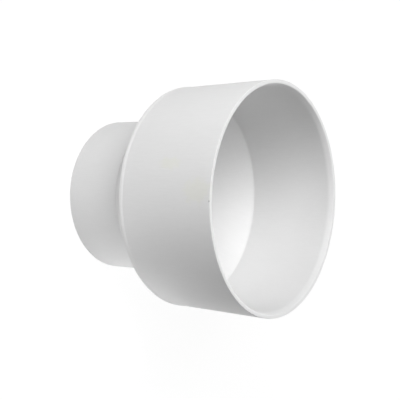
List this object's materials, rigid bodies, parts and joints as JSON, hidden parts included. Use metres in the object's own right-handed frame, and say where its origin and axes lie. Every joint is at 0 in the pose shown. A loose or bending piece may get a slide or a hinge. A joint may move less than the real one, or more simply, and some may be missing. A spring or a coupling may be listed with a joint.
{
  "type": "pipe adapter coupling",
  "caption": "Round plastic reducing coupling: a wide socket narrows through a conical shoulder to a smaller socket, joining a large drain, vent or duct pipe to a small one.",
  "frame": {"origin": "centre of the narrow socket's end face, which is the face the coupling stands on", "axes": "+Z along the common axis of both sockets, from the narrow end up to the wide mouth; the body is round, so +X and +Y are any two level directions"},
  "size_m": [0.1686, 0.1686, 0.1519],
  "materials": {
    "white_pvc": "satin"
  },
  "bodies": {
    "root": {"coupling_body": "white_pvc"}
  },
  "joints": []
}
